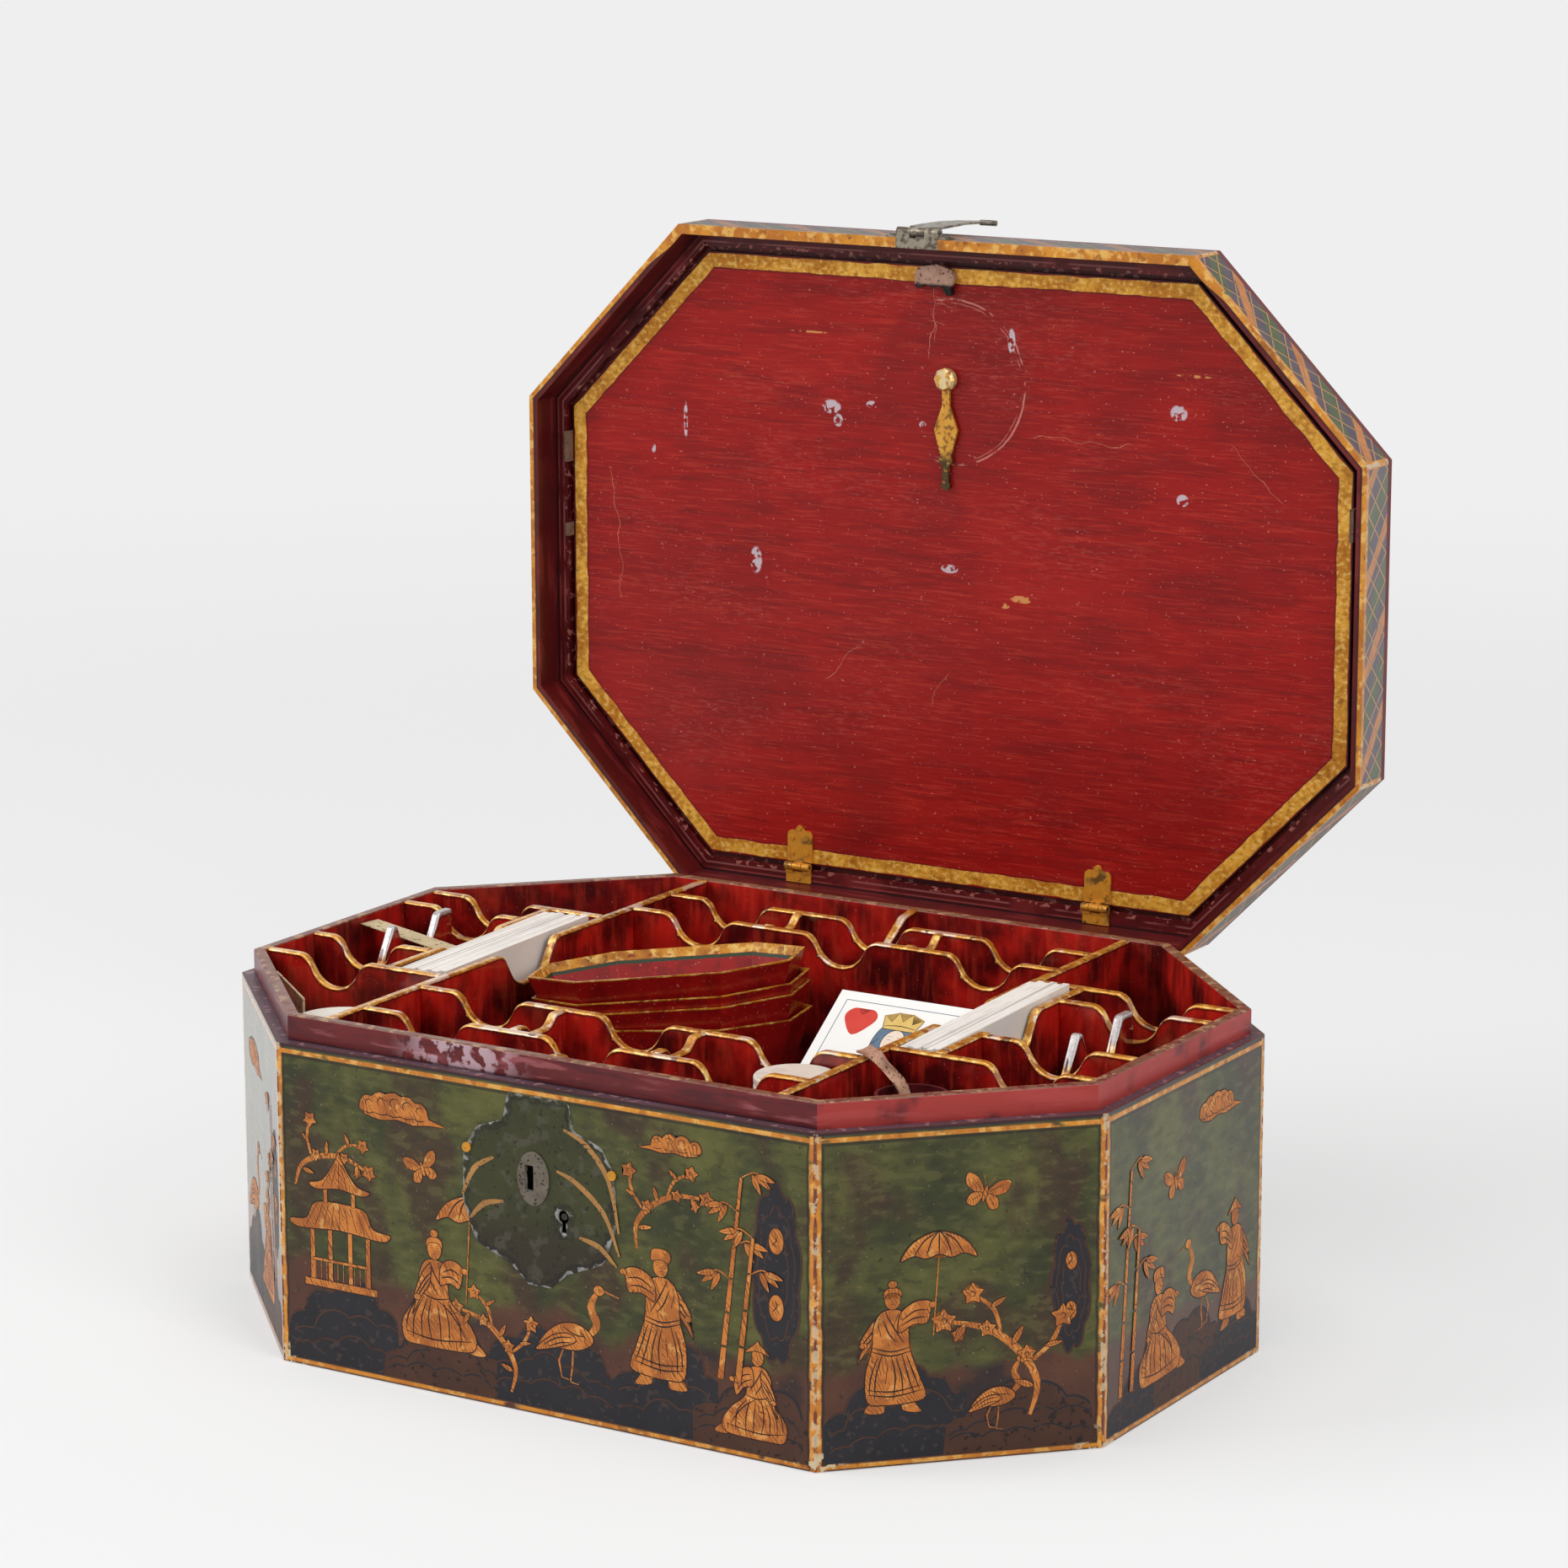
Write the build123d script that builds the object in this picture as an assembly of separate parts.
"""Octagonal lacquered game box, open, with its card decks, nested trays and small contents.

Sizes in mm. x runs right along the front, y to the back, z up. The origin is under the middle of the case.
Everything on the lid is drawn with the lid closed and then turned open about the lid hinge.
"""
import os
from math import atan2, degrees, radians, sin, sqrt

from build123d import *

os.makedirs("parts", exist_ok=True)

# Case
case_width = 360.0
case_depth = 259.0
corner_run = 70.0        # length of a cut corner along x
corner_rise = 71.0       # length of a cut corner along y
case_height = 116.5      # top of the outer boards, the ledge the lid comes down to
lip_height = 9.2         # the lining stands this far above the ledge
outer_board = 4.4
lining_board = 4.2
bottom_thick = 8.0
floor_thick = 5.0
compartment_depth = 55.7  # lip top down to the raised floor
floor_groove = 1.2       # how far the raised floor runs into the lining
groove_play = 0.1
edge_round = 0.7

# Places that the rest is measured from
lip_top = case_height + lip_height
floor_top = lip_top - compartment_depth
inner_inset = outer_board + lining_board
front_y = -case_depth / 2
left_end, right_end = -case_width / 2, case_width / 2
inner_half_depth = case_depth / 2 - inner_inset
inner_half_width = case_width / 2 - inner_inset

# Cards
card_long = 92.0
card_wide = 55.0

# Partitions
partition = 3.6
partition_round = 0.9
long_left_x, long_right_x = left_end + 87.0, right_end - 88.0
slot_left_x, slot_right_x = long_left_x - 25.0, long_right_x + 19.0
slot_end = card_long / 2 + 6.0
cross_left_y = [slot_end, 33.0, -24.0, -slot_end]
cross_right_y = [slot_end, 33.0, -22.0, -slot_end]
cross_left_notch = [29.9, 28.4, 23.7, 29.9]    # notch middle from the lining
cross_right_notch = [29.9, 29.9, 30.4, 25.9]
row_back_y = [inner_half_depth * share for share in (0.579, 0.794)]
row_front_y = [-inner_half_depth * share for share in (0.5625, 0.8437)]
row_notch_x = [case_width * share for share in (-0.172, 0, 0.17)]
row_divider_x = {"back": [case_width * share for share in (-0.092, 0.078)],
                 "front": [case_width * share for share in (-0.083, 0.078)]}
outer_divider_x = 1.0
outer_divider_drop = 11.0
outer_divider_slope = (0.35, 0.21)   # level part and its rounding, as shares of the cell
divider_left_x, divider_right_x = left_end + 29.0, right_end - 39.5

# Notches: half width at the top, half width at the bottom, depth, shoulder radius, bowl radius
finger_notch = (13.0, 6.5, 11.0, 6.0, 11.0)
deck_scoop = (17.0, 9.0, 13.0, 5.5, 10.0)
scoop_share = {"back": 0.4, "front": 0.3}   # half width of a row divider's scoop, as a share of its cell

# Lid
lid_gap = 0.3            # ledge to lid rim when shut
lid_depth = 21.0
lid_top_thick = 3.0
lid_wall = 3.8
moulding_inset = 9.3     # inner face of the moulding, measured from the outside of the lid
moulding_face = 12.6     # moulding face above the rim
stop_inset = 14.0        # inner edge of the ledge the flap shuts against
flap_inset = 11.3
flap_thick = 2.6
flap_face = 13.8         # inner face of the flap above the rim

# Lid hinges
lid_hinge_x = [-0.2 * case_width, 0.2 * case_width]
lid_pivot_out = 2.56      # pivot behind the back boards
lid_barrel_radius = 2.2
lid_pin_radius = 1.1
hinge_leaf_width = 26.0
hinge_leaf_thick = 1.1
hinge_leaf_tall = 15.4
lid_middle_barrel = 11.0
barrel_gap = 0.3
pin_play = 0.05
leaf_from_pivot = 2.7

# Flap hinges
flap_hinge_x = [lid_hinge_x[0] + 8, lid_hinge_x[1] - 5]
flap_pivot_in = 10.6      # pivot inside the back of the lid
flap_pivot_up = 11.4      # pivot above the lid rim
flap_barrel_radius = 1.5
flap_pin_radius = 0.7
flap_leaf_width = 11.0
flap_leaf_thick = 0.8
flap_leaf_gap = 1.5       # pivot to the near edge of the flap leaf
flap_leaf_long = 16.4
frame_leaf_gap = 2.1      # pivot to the near edge of the frame leaf
frame_leaf_long = 4.4

# Turn catch, nail and leather tab on the flap, in closed lid coordinates
catch_x, catch_y = 1.0, front_y + 53.5
catch_lift = (0.6, 1.8)  # catch plate off the flap face, from and to
catch_hole = 1.6
catch_shank = 1.5
nail_head = (2.0, 3.9)
nail_head_radius = 4.5
tab_hole = (2.0, front_y + 20.5)
tab_hole_radius = 1.6

# Hasp
hasp_x = -5.0
hasp_width = 18.0
hasp_barrel_radius = 1.7
hasp_pin_radius = 0.8
hasp_out = 2.2           # barrel centre outside the lid front
hasp_up = 2.0            # barrel centre above the lid rim
hasp_leaf_thick = 0.7
tongue_thick = 0.9

# Lock
plate_thick = 1.2
plate_proud = 0.3
lock_play = 0.2
lock_z = case_height - 32.5   # middle of the hasp slot
lock_case_box = (-18.0, 26.0, lock_z - 27, lock_z + 15)
lock_case_deep = 6.0
lock_case_wall = 1.0
lock_pocket_deep = 6.2
hasp_slot = (-3.0, lock_z, 3.5, 9.0)
keyhole = (10.5, lock_z - 11.8, 2.3)
key_slot_width = 2.2
key_slot_bottom = lock_z - 17.5
key_pin_radius = 1.2

# Contents
tray_rim_width, tray_rim_depth = 98.0, 71.0
tray_corner_run, tray_corner_rise = 22.0, 20.5
tray_height = 30.0
tray_flare = 10.5
tray_wall = 1.1
# Rim centre right of the left long partition, y, above the floor; heading, right end up, back edge up (degrees)
tray_poses = {
    "tray_1": (52.68, 13.2, 53.36, 22.12, 6.15, -5.15),
    "tray_2": (54.64, 12.92, 45.57, 19.53, 6.36, -4.07),
    "tray_3": (55.17, 12.8, 41.63, 19.35, 6.31, -4.06),
    "tray_4": (55.73, 12.38, 34.41, 17.19, 4.09, -4.5),
}

# Worked out once
rim_z = case_height + lid_gap
lid_underside = rim_z + lid_depth - lid_top_thick
lid_outside_z = rim_z + lid_depth
half_partition = partition / 2
lid_pivot_y, lid_pivot_z = case_depth / 2 + lid_pivot_out, rim_z
flap_pivot_y, flap_pivot_z = case_depth / 2 - flap_pivot_in, rim_z + flap_pivot_up
flap_leaf_reach = (flap_pivot_y - flap_leaf_gap - flap_leaf_long, flap_pivot_y - flap_leaf_gap)
frame_leaf_reach = (flap_pivot_y + frame_leaf_gap, flap_pivot_y + frame_leaf_gap + frame_leaf_long)
flap_z = rim_z + flap_face
moulding_z = rim_z + moulding_face
hasp_y = front_y - hasp_out
hasp_z = rim_z + hasp_up


# Plain shapes

def octagon(inset, width=case_width, depth=case_depth, run=corner_run, rise=corner_rise):
    """Plan corners, counter-clockwise from the front left, drawn in by the same amount on every side."""
    half_width = width / 2 - inset
    half_depth = depth / 2 - inset
    corner = rise * width / 2 + run * depth / 2 - run * rise - inset * sqrt(run ** 2 + rise ** 2)
    x = (corner - run * half_depth) / rise
    y = (corner - rise * half_width) / run
    return [(-x, -half_depth), (x, -half_depth), (half_width, -y), (half_width, y),
            (x, half_depth), (-x, half_depth), (-half_width, y), (-half_width, -y)]


def inner_reach(y):
    """x of the inside of the lining at a distance y from the middle."""
    corners = octagon(inner_inset)
    (far_x, far_y), (near_x, near_y) = corners[3], corners[4]
    if abs(y) <= far_y:
        return far_x
    return far_x - (abs(y) - far_y) * (far_x - near_x) / (near_y - far_y)


def prism(points, bottom, top):
    face = make_face(Polyline(*points, close=True))
    return Pos(0, 0, bottom) * extrude(face, amount=top - bottom, dir=(0, 0, 1))


def board(side, outer, inner, bottom, top):
    """One mitred board of an octagonal wall."""
    far = (side + 1) % 8
    a, b = octagon(outer), octagon(inner)
    return prism([a[side], a[far], b[far], b[side]], bottom, top)


def block(x, y, z):
    return Pos(sum(x) / 2, sum(y) / 2, sum(z) / 2) * Box(x[1] - x[0], y[1] - y[0], z[1] - z[0])


def rod_x(radius, x, y, z):
    return Pos(sum(x) / 2, y, z) * Rot(0, 90, 0) * Cylinder(radius, x[1] - x[0])


def rod_y(radius, x, y, z):
    return Pos(x, sum(y) / 2, z) * Rot(90, 0, 0) * Cylinder(radius, y[1] - y[0])


def rod_z(radius, x, y, z):
    return Pos(x, y, sum(z) / 2) * Cylinder(radius, z[1] - z[0])


def rounded_face(corners):
    """Closed outline of (u, v, radius) corners."""
    points = [(u, v) for u, v, r in corners]
    return make_face(FilletPolyline(*points, radius=[r for u, v, r in corners], close=True))


def upright_x(face, thick, y):
    """Stand a face drawn in (x, z) up as a plate with its middle at y."""
    return Pos(0, y + thick / 2, 0) * Rot(90, 0, 0) * extrude(face, amount=thick)


def upright_y(face, thick, x):
    """Stand a face drawn in (y, z) up as a plate with its middle at x."""
    return Pos(x, 0, 0) * Rot(0, 0, 90) * upright_x(face, thick, 0)


def soften(solid, axis, lowest, radius):
    """Round the long edges of the two broad faces of a plate that lie above a height."""
    edges = []
    for face in (solid.faces().sort_by(axis)[0], solid.faces().sort_by(axis)[-1]):
        for edge in face.edges():
            box = edge.bounding_box()
            if box.min.Z > lowest and (box.size.X > 0.01 or box.size.Y > 0.01):
                edges.append(edge)
    return fillet(edges, radius)


def ribbon(points, thick):
    """Closed outline of a bent strip around a centre line."""
    left, right = [], []
    for i, (u, v) in enumerate(points):
        u0, v0 = points[max(i - 1, 0)]
        u1, v1 = points[min(i + 1, len(points) - 1)]
        run = sqrt((u1 - u0) ** 2 + (v1 - v0) ** 2)
        du, dv = (u1 - u0) / run * thick / 2, (v1 - v0) / run * thick / 2
        left.append((u - dv, v + du))
        right.append((u + dv, v - du))
    return make_face(Polyline(*left, *reversed(right), close=True))


def open_lid(shape):
    return shape.rotate(Axis((0, lid_pivot_y, lid_pivot_z), (1, 0, 0)), -90)


def save(name, pieces, on_lid=False):
    if on_lid:
        pieces = [open_lid(piece) for piece in pieces]
    shape = pieces[0] if len(pieces) == 1 else Compound(children=pieces)
    export_step(shape, f"parts/{name}.step")


# Case walls

def case_wall(side):
    return board(side, 0, outer_board, 0, case_height)


def lining(side):
    wall = board(side, outer_board, inner_inset, bottom_thick, lip_top)
    groove = prism(octagon(inner_inset - floor_groove), floor_top - floor_thick, floor_top + groove_play)
    wall -= groove
    top = wall.faces().sort_by(Axis.Z)[-1]
    long_edges = top.edges().sort_by(lambda edge: edge.length)[-2:]
    return fillet(long_edges, edge_round)


def lock_pocket():
    x0, x1, z0, z1 = lock_case_box
    depth = (front_y + plate_thick - plate_proud, front_y + plate_thick - plate_proud + lock_pocket_deep)
    return block((x0 - lock_play, x1 + lock_play), depth, (z0 - lock_play, z1 + lock_play))


# Partitions with notches in their top edges

def notched(start, end, notches, top=lip_top):
    """Outline of a partition in (length, z) with notches (middle, shape) in the top edge."""
    corners = [(end, floor_top, 0), (start, floor_top, 0), (start, top, 0)]
    for middle, (half_top, half_bottom, depth, shoulder, bowl) in notches:
        corners += [(middle - half_top, top, shoulder), (middle - half_bottom, top - depth, bowl),
                    (middle + half_bottom, top - depth, bowl), (middle + half_top, top, shoulder)]
    corners.append((end, top, 0))
    return rounded_face(corners)


def partition_x(y, start, end, notches):
    plate = upright_x(notched(start, end, notches), partition, y)
    return soften(plate, Axis.Y, floor_top + 1, partition_round)


def partition_y(x, start, end, notches):
    plate = upright_y(notched(start, end, notches), partition, x)
    return soften(plate, Axis.X, floor_top + 1, partition_round)


def end_divider(x, near, far, hump):
    """Divider of an end cell: low at the near end, a narrow hump, a deep scoop, then full height."""
    low, scoop_floor, hump_top = lip_top - 13.7, lip_top - 17.7, lip_top + 0.7
    corners = [(far, floor_top, 0), (near, floor_top, 0), (near, low, 0), (hump - 9.2, low, 4),
               (hump - 1.2, hump_top, 1.6), (hump + 1.2, hump_top, 1.6), (hump + 9.6, scoop_floor, 5),
               (14.5, scoop_floor, 5), (23.5, lip_top, 3), (far, lip_top, 0)]
    return soften(upright_y(rounded_face(corners), partition, x), Axis.X, floor_top + 1, partition_round)


def outer_divider(wall_y, row_y):
    """Short divider behind a row, full height at the lining and sloping down to the row notch."""
    level, rounding = outer_divider_slope
    high = wall_y - (wall_y - row_y) * level
    corners = [(wall_y, floor_top, 0), (row_y, floor_top, 0), (row_y, lip_top - outer_divider_drop, 0),
               (high, lip_top - 1, abs(wall_y - row_y) * rounding), (wall_y, lip_top, 0)]
    return soften(upright_y(rounded_face(corners), partition, outer_divider_x), Axis.X, floor_top + 1, partition_round)


# Lock

def shield():
    half = [(12.5, 29, 2), (14.5, 19, 2), (25.5, 15, 3), (31, 6, 4), (31.5, -12, 6), (26.5, -26, 6), (11.5, -32, 3), (4.5, -38, 2)]
    right = [(0.5 + u, lock_z + v, r) for u, v, r in half]
    left = [(0.5 - u, lock_z + v, r) for u, v, r in reversed(half)]
    return rounded_face(right + left)


def lock_openings(y):
    """Hasp slot and keyhole, cut through the plate."""
    x, z, width, height = hasp_slot
    slot = block((x - width / 2, x + width / 2), y, (z - height / 2, z + height / 2))
    key_x, key_z, radius = keyhole
    hole = rod_y(radius, key_x, y, key_z)
    stem = block((key_x - key_slot_width / 2, key_x + key_slot_width / 2), y, (key_slot_bottom, key_z))
    return slot, hole + stem


# Hinges

def barrels(middle, width, centre, gap):
    """Spans of the two outer barrels and the middle one."""
    half, inner = width / 2, centre / 2
    outer = [(middle - half, middle - inner - gap), (middle + inner + gap, middle + half)]
    return outer, [(middle - inner, middle + inner)]


def case_leaf(middle):
    outer, centre = barrels(middle, hinge_leaf_width, lid_middle_barrel, barrel_gap)
    wall = case_depth / 2
    top = lid_pivot_z - leaf_from_pivot
    half = hinge_leaf_width / 2
    leaf = block((middle - half, middle + half), (wall, wall + hinge_leaf_thick), (top - hinge_leaf_tall, top))
    for span in outer:
        leaf += rod_x(lid_barrel_radius, span, lid_pivot_y, lid_pivot_z)
        leaf += block(span, (lid_pivot_y - lid_barrel_radius, wall + hinge_leaf_thick), (top - 1, lid_pivot_z))
    leaf += block((middle - half, middle + half), (wall, wall + hinge_leaf_thick), (top - 1, top))
    return leaf - rod_x(lid_pin_radius, (middle - half - 1, middle + half + 1), lid_pivot_y, lid_pivot_z)


def lid_leaf(middle):
    outer, centre = barrels(middle, hinge_leaf_width, lid_middle_barrel, barrel_gap)
    wall = case_depth / 2
    low = lid_pivot_z + leaf_from_pivot
    half = hinge_leaf_width / 2
    leaf = block((middle - half, middle + half), (wall, wall + hinge_leaf_thick), (low, low + hinge_leaf_tall))
    leaf += rod_x(lid_barrel_radius, centre[0], lid_pivot_y, lid_pivot_z)
    leaf += block(centre[0], (lid_pivot_y - lid_barrel_radius, wall + hinge_leaf_thick), (lid_pivot_z, low + 1))
    return leaf - rod_x(lid_pin_radius + pin_play, (middle - half - 1, middle + half + 1), lid_pivot_y, lid_pivot_z)


def hinge_nails(middle, heights):
    """Domed nail heads on a lid hinge leaf."""
    surface = case_depth / 2 + hinge_leaf_thick
    return [rod_y(1.3, middle + x, (surface, surface + 0.6), z) for x in (-9, 0, 9) for z in heights]


def flap_leaf(middle):
    """Flap hinge leaf with a lobed end, and its middle barrel."""
    half = flap_leaf_width / 2
    near, far = flap_leaf_reach
    lobes = [(middle - half, far, 0), (middle - half, near + 4, 2), (middle - 2, near + 4, 1), (middle, near, 1.5),
             (middle + 2, near + 4, 1), (middle + half, near + 4, 2), (middle + half, far, 0)]
    plate = Pos(0, 0, flap_z - flap_leaf_thick) * extrude(rounded_face(lobes), amount=flap_leaf_thick, dir=(0, 0, 1))
    outer, centre = barrels(middle, flap_leaf_width, 4.0, barrel_gap)
    plate += rod_x(flap_barrel_radius, centre[0], flap_pivot_y, flap_pivot_z)
    plate += block(centre[0], (far - 0.6, flap_pivot_y - 0.2), (flap_pivot_z, flap_z))
    return plate - rod_x(flap_pin_radius + pin_play, (middle - half - 1, middle + half + 1), flap_pivot_y, flap_pivot_z)


def frame_leaf(middle):
    """Leaf on the moulding face, with the two outer barrels."""
    half = flap_leaf_width / 2
    near, far = frame_leaf_reach
    plate = block((middle - half, middle + half), (near, far), (moulding_z - flap_leaf_thick, moulding_z))
    outer, centre = barrels(middle, flap_leaf_width, 4.0, barrel_gap)
    for span in outer:
        plate += rod_x(flap_barrel_radius, span, flap_pivot_y, flap_pivot_z)
        plate += block(span, (flap_pivot_y, near + 0.5), (moulding_z - flap_leaf_thick - 0.5, moulding_z - 0.05))
    return plate - rod_x(flap_pin_radius, (middle - half - 1, middle + half + 1), flap_pivot_y, flap_pivot_z)


# Case

save("bottom_board", [prism(octagon(outer_board), 0, bottom_thick)])

plate_back = front_y + plate_thick - plate_proud
lock_plate = upright_x(shield(), plate_thick, plate_back - plate_thick / 2)
slot_cut, key_cut = lock_openings((front_y - 2, plate_back + 1))
front_wall = case_wall(0) - lock_plate - lock_pocket()
save("wall_front", [front_wall])
save("wall_right", [case_wall(2)])
save("wall_back", [case_wall(4)])
save("wall_left", [case_wall(6)])
save("corner_walls", [case_wall(side) for side in (1, 3, 5, 7)])

lining_front = lining(0) - lock_pocket()
save("lining_boards", [lining_front] + [lining(side) for side in range(1, 8)])
save("floor_board", [prism(octagon(inner_inset - floor_groove), floor_top - floor_thick, floor_top)])

full_depth = (-inner_half_depth, inner_half_depth)
save("long_partition_left", [partition_y(long_left_x, *full_depth, [(0, deck_scoop)])])
save("long_partition_right", [partition_y(long_right_x, *full_depth, [(0, deck_scoop)])])

slot_end_back = cross_left_y[0] - half_partition
slot_end_front = cross_left_y[3] + half_partition
save("deck_slot_wall_left", [partition_y(slot_left_x, slot_end_front, slot_end_back, [(0, deck_scoop)])])
save("deck_slot_wall_right", [partition_y(slot_right_x, slot_end_front, slot_end_back, [(0, deck_scoop)])])


def cross_partitions(side, positions, notch_from_lining, long_x, slot_x):
    """Four cross partitions of one end; the outer two reach the long partition, the others the slot wall."""
    made = []
    for number, (y, run) in enumerate(zip(positions, notch_from_lining)):
        reach = inner_reach(abs(y) + half_partition)
        stop = long_x + side * half_partition if number in (0, 3) else slot_x + side * half_partition
        made.append(partition_x(y, *sorted((side * reach, stop)), [(side * (reach - run), finger_notch)]))
    return made


save("left_cross_partitions", cross_partitions(-1, cross_left_y, cross_left_notch, long_left_x, slot_left_x))
save("right_cross_partitions", cross_partitions(1, cross_right_y, cross_right_notch, long_right_x, slot_right_x))
save("end_dividers", [
    end_divider(divider_left_x, cross_left_y[2] + half_partition, cross_left_y[1] - half_partition, -4.4),
    end_divider(divider_right_x, cross_right_y[2] + half_partition, cross_right_y[1] - half_partition, -6.8),
])

row_span = (long_left_x + half_partition, long_right_x - half_partition)
row_notches = [(x, finger_notch) for x in row_notch_x]
save("back_row_partitions", [partition_x(y, *row_span, row_notches) for y in row_back_y])
save("front_row_partitions", [partition_x(y, *row_span, row_notches) for y in row_front_y])

back_cell = (row_back_y[0] + half_partition, row_back_y[1] - half_partition)
front_cell = (row_front_y[1] + half_partition, row_front_y[0] - half_partition)


def row_divider(x, row, near, far):
    """Short divider of a row, with a shallow scoop as wide as its cell allows."""
    half = (far - near) * scoop_share[row]
    return partition_y(x, near, far, [((near + far) / 2, (half, half * 0.55, 4.0, half / 3, half * 0.55))])


row_dividers = [row_divider(x, "back", *back_cell) for x in row_divider_x["back"]]
row_dividers += [row_divider(x, "front", *front_cell) for x in row_divider_x["front"]]
row_dividers.append(outer_divider(inner_half_depth, row_back_y[1] + half_partition))
row_dividers.append(outer_divider(-inner_half_depth, row_front_y[1] - half_partition))
save("row_dividers", row_dividers)

# Lock

save("lock_plate", [lock_plate - slot_cut - key_cut])

patch_face = Pos(-1.5, lock_z) * Ellipse(6.5, 9.5)
patch = upright_x(patch_face, 0.5, front_y - plate_proud - 0.25)
save("slot_patch", [patch - slot_cut])


stud_y = (front_y - plate_proud - 0.6, front_y - plate_proud)
save("plate_studs", [rod_y(1.7, x, stud_y, lock_z + up) for x, up in ((-29.0, 7.0), (30.5, 6.0))])

x0, x1, z0, z1 = lock_case_box
case_back = plate_back + lock_case_deep
case_box = block((x0, x1), (plate_back, case_back), (z0, z1))
case_inside = block((x0 + lock_case_wall, x1 - lock_case_wall), (plate_back, case_back - lock_case_wall),
                    (z0 + lock_case_wall, z1 - lock_case_wall))
bolt_y = (plate_back + 1.2, plate_back + 3.7)
stump_y = (bolt_y[0], case_back - lock_case_wall)
stumps = [block((-7.2, -4.4), stump_y, (lock_z + 3.2, lock_z + 5)), block((18, 21), stump_y, (lock_z - 5.8, lock_z - 3.2))]
lock_case = case_box - case_inside
for stump in stumps:
    lock_case += stump
save("lock_case", [lock_case])

bolt = block((0.5, 22), bolt_y, (lock_z - 3, lock_z + 3)) + block((6, 15), bolt_y, (lock_z - 9, lock_z - 3))
bolt -= block((9, 12), bolt_y, (lock_z - 9, lock_z - 5))
save("lock_bolt", [bolt])

spring_line = [(-8 + 26 * t / 12, lock_z + 7 - 3.4 * sin(radians(180 * t / 12))) for t in range(13)]
spring = upright_x(ribbon(spring_line, 0.5), 2.4, sum(bolt_y) / 2)
spring_foot = block((-9.4, -7.7), stump_y, (lock_z + 6, lock_z + 8.4))
save("bolt_spring", [spring + spring_foot])

key_x, key_z, key_radius = keyhole
save("key_pin", [rod_y(key_pin_radius, key_x, (plate_back - 0.6, case_back - lock_case_wall), key_z)])

# Lid

save("lid_top", [prism(octagon(0), lid_underside, lid_outside_z)], on_lid=True)

hasp_half = hasp_width / 2
leaf_rebate = block((hasp_x - hasp_half, hasp_x + hasp_half), (front_y, front_y + lid_wall), (rim_z, rim_z + hasp_leaf_thick))
lid_boards = [board(side, 0, lid_wall, rim_z, lid_underside) for side in range(8)]
lid_boards[0] -= leaf_rebate
save("lid_walls", lid_boards, on_lid=True)

moulding = []
for side in range(8):
    strip = board(side, lid_wall, moulding_inset, moulding_z, lid_underside)
    ledge = board(side, moulding_inset, stop_inset, flap_z + flap_thick, lid_underside)
    moulding.append(strip + ledge)
save("lid_moulding", moulding, on_lid=True)

flap = prism(octagon(flap_inset), flap_z, flap_z + flap_thick)
flap -= rod_z(catch_shank, catch_x, catch_y, (flap_z, flap_z + 1.8))
flap -= rod_z(tab_hole_radius, *tab_hole, (flap_z, flap_z + flap_thick))
save("flap_panel", [flap], on_lid=True)

# Lid hinges

save("case_hinge_leaves", [case_leaf(x) for x in lid_hinge_x])
save("lid_hinge_leaves", [lid_leaf(x) for x in lid_hinge_x], on_lid=True)
pin_half = hinge_leaf_width / 2
save("lid_hinge_pins", [rod_x(lid_pin_radius, (x - pin_half, x + pin_half), lid_pivot_y, lid_pivot_z) for x in lid_hinge_x])
case_nail_z = (lid_pivot_z - leaf_from_pivot - 4, lid_pivot_z - leaf_from_pivot - 12)
lid_nail_z = (lid_pivot_z + leaf_from_pivot + 4, lid_pivot_z + leaf_from_pivot + 12)
save("case_hinge_nails", [nail for x in lid_hinge_x for nail in hinge_nails(x, case_nail_z)])
save("lid_hinge_nails", [nail for x in lid_hinge_x for nail in hinge_nails(x, lid_nail_z)], on_lid=True)

# Flap hinges

save("flap_hinge_leaves", [flap_leaf(x) for x in flap_hinge_x], on_lid=True)
save("frame_hinge_leaves", [frame_leaf(x) for x in flap_hinge_x], on_lid=True)
flap_pin_half = flap_leaf_width / 2
save("flap_hinge_pins", [rod_x(flap_pin_radius, (x - flap_pin_half, x + flap_pin_half), flap_pivot_y, flap_pivot_z)
                         for x in flap_hinge_x], on_lid=True)
rivet_z = (flap_z - flap_leaf_thick - 0.4, flap_z - flap_leaf_thick)
rivet_spots = [(-3.2, 4.9), (3.2, 4.9), (-3.2, 10.9), (3.2, 10.9), (0, 14.9)]
save("flap_rivets", [rod_z(0.8, x + u, flap_pivot_y - v, rivet_z) for x in flap_hinge_x for u, v in rivet_spots], on_lid=True)
nail_z = (moulding_z - flap_leaf_thick - 0.5, moulding_z - flap_leaf_thick)
save("frame_hinge_nails", [rod_z(1.0, x, sum(frame_leaf_reach) / 2 + 0.4, nail_z) for x in flap_hinge_x], on_lid=True)

# Turn catch on the flap

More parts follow.
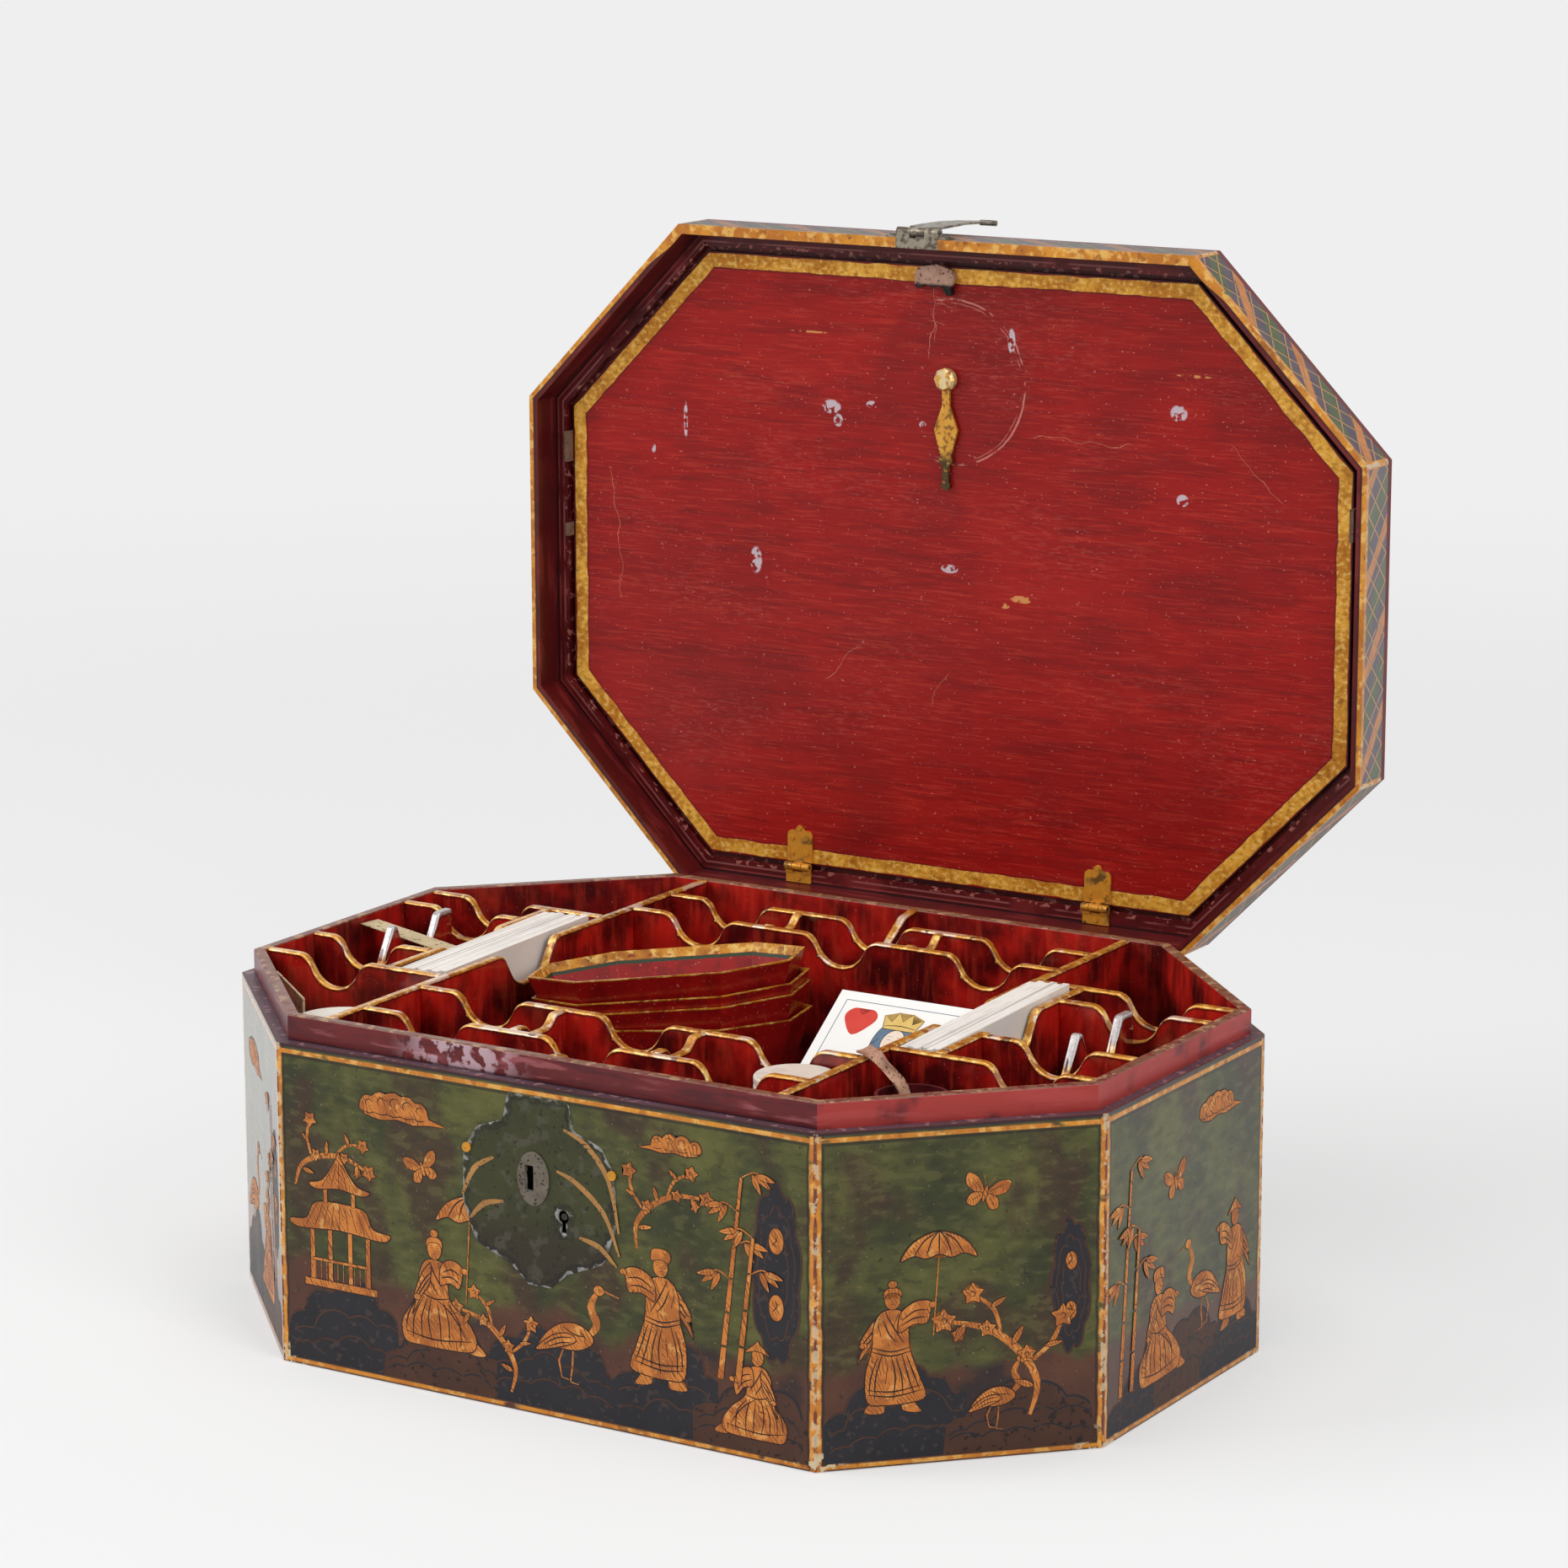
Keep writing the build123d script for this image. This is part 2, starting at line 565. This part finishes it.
catch_outline = [(0, 4.2), (10, 1.6), (19, 5.0), (29, 2.2), (31, 3.0), (33, 1.3), (40, 1.3)]
side_a = [(catch_x + half, catch_y + along, 0.4) for along, half in catch_outline[1:]]
side_b = [(catch_x - half, catch_y + along, 0.4) for along, half in reversed(catch_outline[1:])]
blade = rounded_face([(catch_x + 1.6, catch_y, 0)] + side_a + side_b + [(catch_x - 1.6, catch_y, 0)])
plate_z = (flap_z - catch_lift[1], flap_z - catch_lift[0])
catch = Pos(0, 0, plate_z[0]) * extrude(blade, amount=plate_z[1] - plate_z[0], dir=(0, 0, 1))
catch += rod_z(catch_outline[0][1], catch_x, catch_y, plate_z)
catch += rod_z(1.8, catch_x, catch_y + 40, plate_z)
catch -= rod_z(catch_hole, catch_x, catch_y, plate_z)
save("turn_catch", [catch], on_lid=True)

shank = rod_z(catch_shank, catch_x, catch_y, (flap_z - nail_head[0], flap_z + 1.8))
head = Pos(catch_x, catch_y, flap_z - nail_head[1]) * extrude(
    RegularPolygon(nail_head_radius, 8), amount=nail_head[1] - nail_head[0], dir=(0, 0, 1))
head = chamfer(head.faces().sort_by(Axis.Z)[0].edges(), 0.9)
save("catch_nail", [shank + head], on_lid=True)

tab_z = (flap_z - 2.2, flap_z - 0.15)
tab_outline = [(-12, 19, 1.5), (-12, 12, 3), (-3, 10.5, 3), (4, 12.5, 2), (4, 19, 1.5)]
tab_face = rounded_face([(u, front_y + v, r) for u, v, r in tab_outline])
tab = Pos(0, 0, tab_z[0]) * extrude(tab_face, amount=tab_z[1] - tab_z[0], dir=(0, 0, 1))
tab += rod_z(tab_hole_radius, *tab_hole, (tab_z[0], flap_z + flap_thick))
tab += block((0.6, 3.4), (tab_hole[1] - 3, tab_hole[1]), tab_z)
save("pull_tab", [tab], on_lid=True)


def wedge(y, length, side):
    """Folded paper pushed into the gap between flap and moulding; side is the wall it lies against."""
    edge = case_width / 2 - moulding_inset
    middle = side * (edge - 1.0)
    return block((middle - 0.8, middle + 0.8), (y - length / 2, y + length / 2), (moulding_z - 2.5, flap_z + flap_thick - 0.4))


save("paper_wedges", [wedge(-38, 12, -1), wedge(-35, 12, 1), wedge(-5, 5, -1)], on_lid=True)

# Hasp

third = hasp_width / 3
hasp_spans = [(hasp_x - hasp_half + third * n + (0.15 if n else 0), hasp_x - hasp_half + third * (n + 1) - (0.15 if n < 2 else 0))
              for n in range(3)]
leaf = block((hasp_x - hasp_half, hasp_x + hasp_half), (front_y, front_y + lid_wall), (rim_z, rim_z + hasp_leaf_thick))
for span in (hasp_spans[0], hasp_spans[2]):
    leaf += rod_x(hasp_barrel_radius, span, hasp_y, hasp_z)
    leaf += block(span, (hasp_y, front_y), (hasp_z - hasp_barrel_radius, hasp_z - hasp_barrel_radius + 0.8))
    leaf += block(span, (front_y - 0.7, front_y), (rim_z, rim_z + 5))
for ear in (-11, 11):
    leaf += block(sorted((hasp_x + ear - 2.4, hasp_x + ear + 2.4)), (front_y - 0.7, front_y), (rim_z + 0.4, rim_z + 5))
hasp_pin_hole = (hasp_x - hasp_half - 1, hasp_x + hasp_half + 1)
leaf -= rod_x(hasp_pin_radius, hasp_pin_hole, hasp_y, hasp_z)
save("hasp_leaf", [leaf], on_lid=True)
save("hasp_nails", [rod_y(1.2, hasp_x + ear, (front_y - 1.2, front_y - 0.7), rim_z + 2.8) for ear in (-11.8, 11.8)], on_lid=True)
save("hasp_pin", [rod_x(hasp_pin_radius, (hasp_x - hasp_half, hasp_x + hasp_half), hasp_y, hasp_z)], on_lid=True)

tongue_line = [(hasp_y - 1.25, hasp_z), (hasp_y - 1.3, hasp_z + 10), (hasp_y - 1.2, hasp_z + 25),
               (hasp_y - 0.4, hasp_z + 38), (hasp_y + 0.9, hasp_z + 52)]
tongue = upright_y(ribbon(tongue_line, tongue_thick), 13, hasp_x)
taper_half = [(-1, 2.7), (2.4, 2.7), (4.4, 6.5), (10, 6.5), (60, 3.5)]
taper = [(hasp_x + half, hasp_z + along) for along, half in taper_half]
taper += [(hasp_x - half, hasp_z + along) for along, half in reversed(taper_half)]
tongue &= upright_x(make_face(Polyline(*taper, close=True)), 12, hasp_y)
tongue += rod_x(hasp_barrel_radius, hasp_spans[1], hasp_y, hasp_z)
tongue += rod_x(1.1, (hasp_x - 3.4, hasp_x + 3.4), hasp_y + 1.2, hasp_z + 52.4)
tongue -= rod_x(hasp_pin_radius + pin_play, hasp_pin_hole, hasp_y, hasp_z)
save("hasp_tongue", [tongue], on_lid=True)


# Contents

def deck(middle_x, thick, packets, tilt, shifts):
    """A deck of cards standing on its long edges, in a few packets slipped a little against each other."""
    each = thick / packets
    made = []
    for number in range(packets):
        start = middle_x - thick / 2 + each * number
        made.append(block((start, start + each), (shifts[number] - card_long / 2, shifts[number] + card_long / 2),
                          (floor_top, floor_top + card_wide)))
    low = -card_long / 2 + min(shifts)
    hinge = Axis((0, low, floor_top), (1, 0, 0))
    return [packet.rotate(hinge, tilt) for packet in made]


save("deck_left", deck((long_left_x + slot_left_x) / 2 - 0.35, 17.5, 7, 0.9, [-2.0, -1.2, 0.0, -1.6, 0.6, -0.6, 1.6]))
save("deck_right", deck((long_right_x + slot_right_x) / 2 + 0.1, 14.0, 6, 1.6, [-1.6, 0.8, -0.4, 1.8, 0.2, 2.2]))

card_lean = 35.6
loose = Box(54, 90, 0.4, align=(Align.MIN, Align.MAX, Align.CENTER))
save("loose_card", [Pos(long_right_x - 56.5, row_front_y[0] + 80, lip_top - 2.4) * Rot(card_lean, 0, 0) * loose])


def tray():
    """Open octagonal tray with flared sides; its rim centre is at the origin."""
    def ring(inset, z):
        points = octagon(inset, tray_rim_width, tray_rim_depth, tray_corner_run, tray_corner_rise)
        return Pos(0, 0, z) * make_face(Polyline(*points, close=True))

    slope = tray_flare / tray_height
    wall = tray_wall * sqrt(1 + slope ** 2)
    outside = loft([ring(tray_flare, -tray_height), ring(0, 0)], ruled=True)
    inner_floor = tray_wall - tray_height
    inside = loft([ring(wall + slope * -inner_floor, inner_floor), ring(wall, 0)], ruled=True)
    return outside - inside


for tray_name, (x, y, z, heading, right_up, back_up) in tray_poses.items():
    save(tray_name, [Pos(long_left_x + x, y, floor_top + z) * Rot(0, 0, heading) * Rot(0, -right_up, 0) * Rot(back_up, 0, 0) * tray()])


def round_pile(x, y, radius, top, count):
    each = (top - floor_top) / count
    pile = []
    for number in range(count):
        low = floor_top + each * number
        disc = rod_z(radius, x, y, (low, low + each))
        pile.append(fillet(disc.edges().filter_by(GeomType.CIRCLE), each * 0.3))
    return pile


front_cell_half = (front_cell[1] - front_cell[0]) / 2
save("counters_left", round_pile(long_left_x - 20, -inner_half_depth + 32.9, 17, lip_top - 10.7, 15))
save("counters_right", round_pile(long_right_x - 16.8, sum(front_cell) / 2, front_cell_half - 0.9, lip_top - 4.7, 17))

slip_near, slip_far = slot_end + 4.4, slot_end + 31.0
slip_from, slip_to = (4.5 - inner_reach(slip_near), -slip_near), (10.7 - inner_reach(slip_far), -slip_far)
slip_length = sqrt((slip_to[0] - slip_from[0]) ** 2 + (slip_to[1] - slip_from[1]) ** 2)
slip_angle = degrees(atan2(slip_to[1] - slip_from[1], slip_to[0] - slip_from[0]))
slip = Pos(slip_from[0], slip_from[1], floor_top) * Rot(0, 0, slip_angle) * Box(
    slip_length, 0.8, 48.5, align=(Align.MIN, Align.CENTER, Align.MIN))
save("paper_slip", [slip])

strip_start = Vector(1.1 - inner_half_width, 7.4, lip_top - 2.7)
strip_end = Vector(slot_left_x - 2.4, -1.2, lip_top - 6.9)
strip_run = strip_end - strip_start
strip_turn = degrees(atan2(strip_run.Y, strip_run.X))
strip_fall = degrees(atan2(-strip_run.Z, sqrt(strip_run.X ** 2 + strip_run.Y ** 2)))
strip = Box(strip_run.length, 9, 0.3, align=(Align.MIN, Align.CENTER, Align.CENTER))
save("paper_strip", [Pos(*strip_start) * Rot(0, 0, strip_turn) * Rot(0, strip_fall, 0) * strip])

cup_x, cup_y, cup_radius, cup_wall, cup_top = long_right_x + 23.5, -slot_end - 24.0, 12.8, 1.3, lip_top - 7.7
cup = rod_z(cup_radius, cup_x, cup_y, (floor_top, cup_top))
cup -= rod_z(cup_radius - cup_wall, cup_x, cup_y, (floor_top + 2, cup_top))
save("round_box", [cup])

strap_line = [(0, 1.2), (5, 0.9), (10, -1.1), (16, -4.1), (20.5, -7.5), (22.6, -12.2), (23.2, -17.7), (23.4, -29.7)]
strap = Rot(90, 0, 0) * extrude(ribbon([(u, lip_top + v) for u, v in strap_line], 1.1), amount=6)
strap_from = (long_right_x - 0.1, cup_y + 9.4)
strap_turn = degrees(atan2(cup_y - strap_from[1], cup_x - strap_from[0]))
save("leather_strap", [Pos(*strap_from, 0) * Rot(0, 0, strap_turn) * Pos(0, 3, 0) * strap])
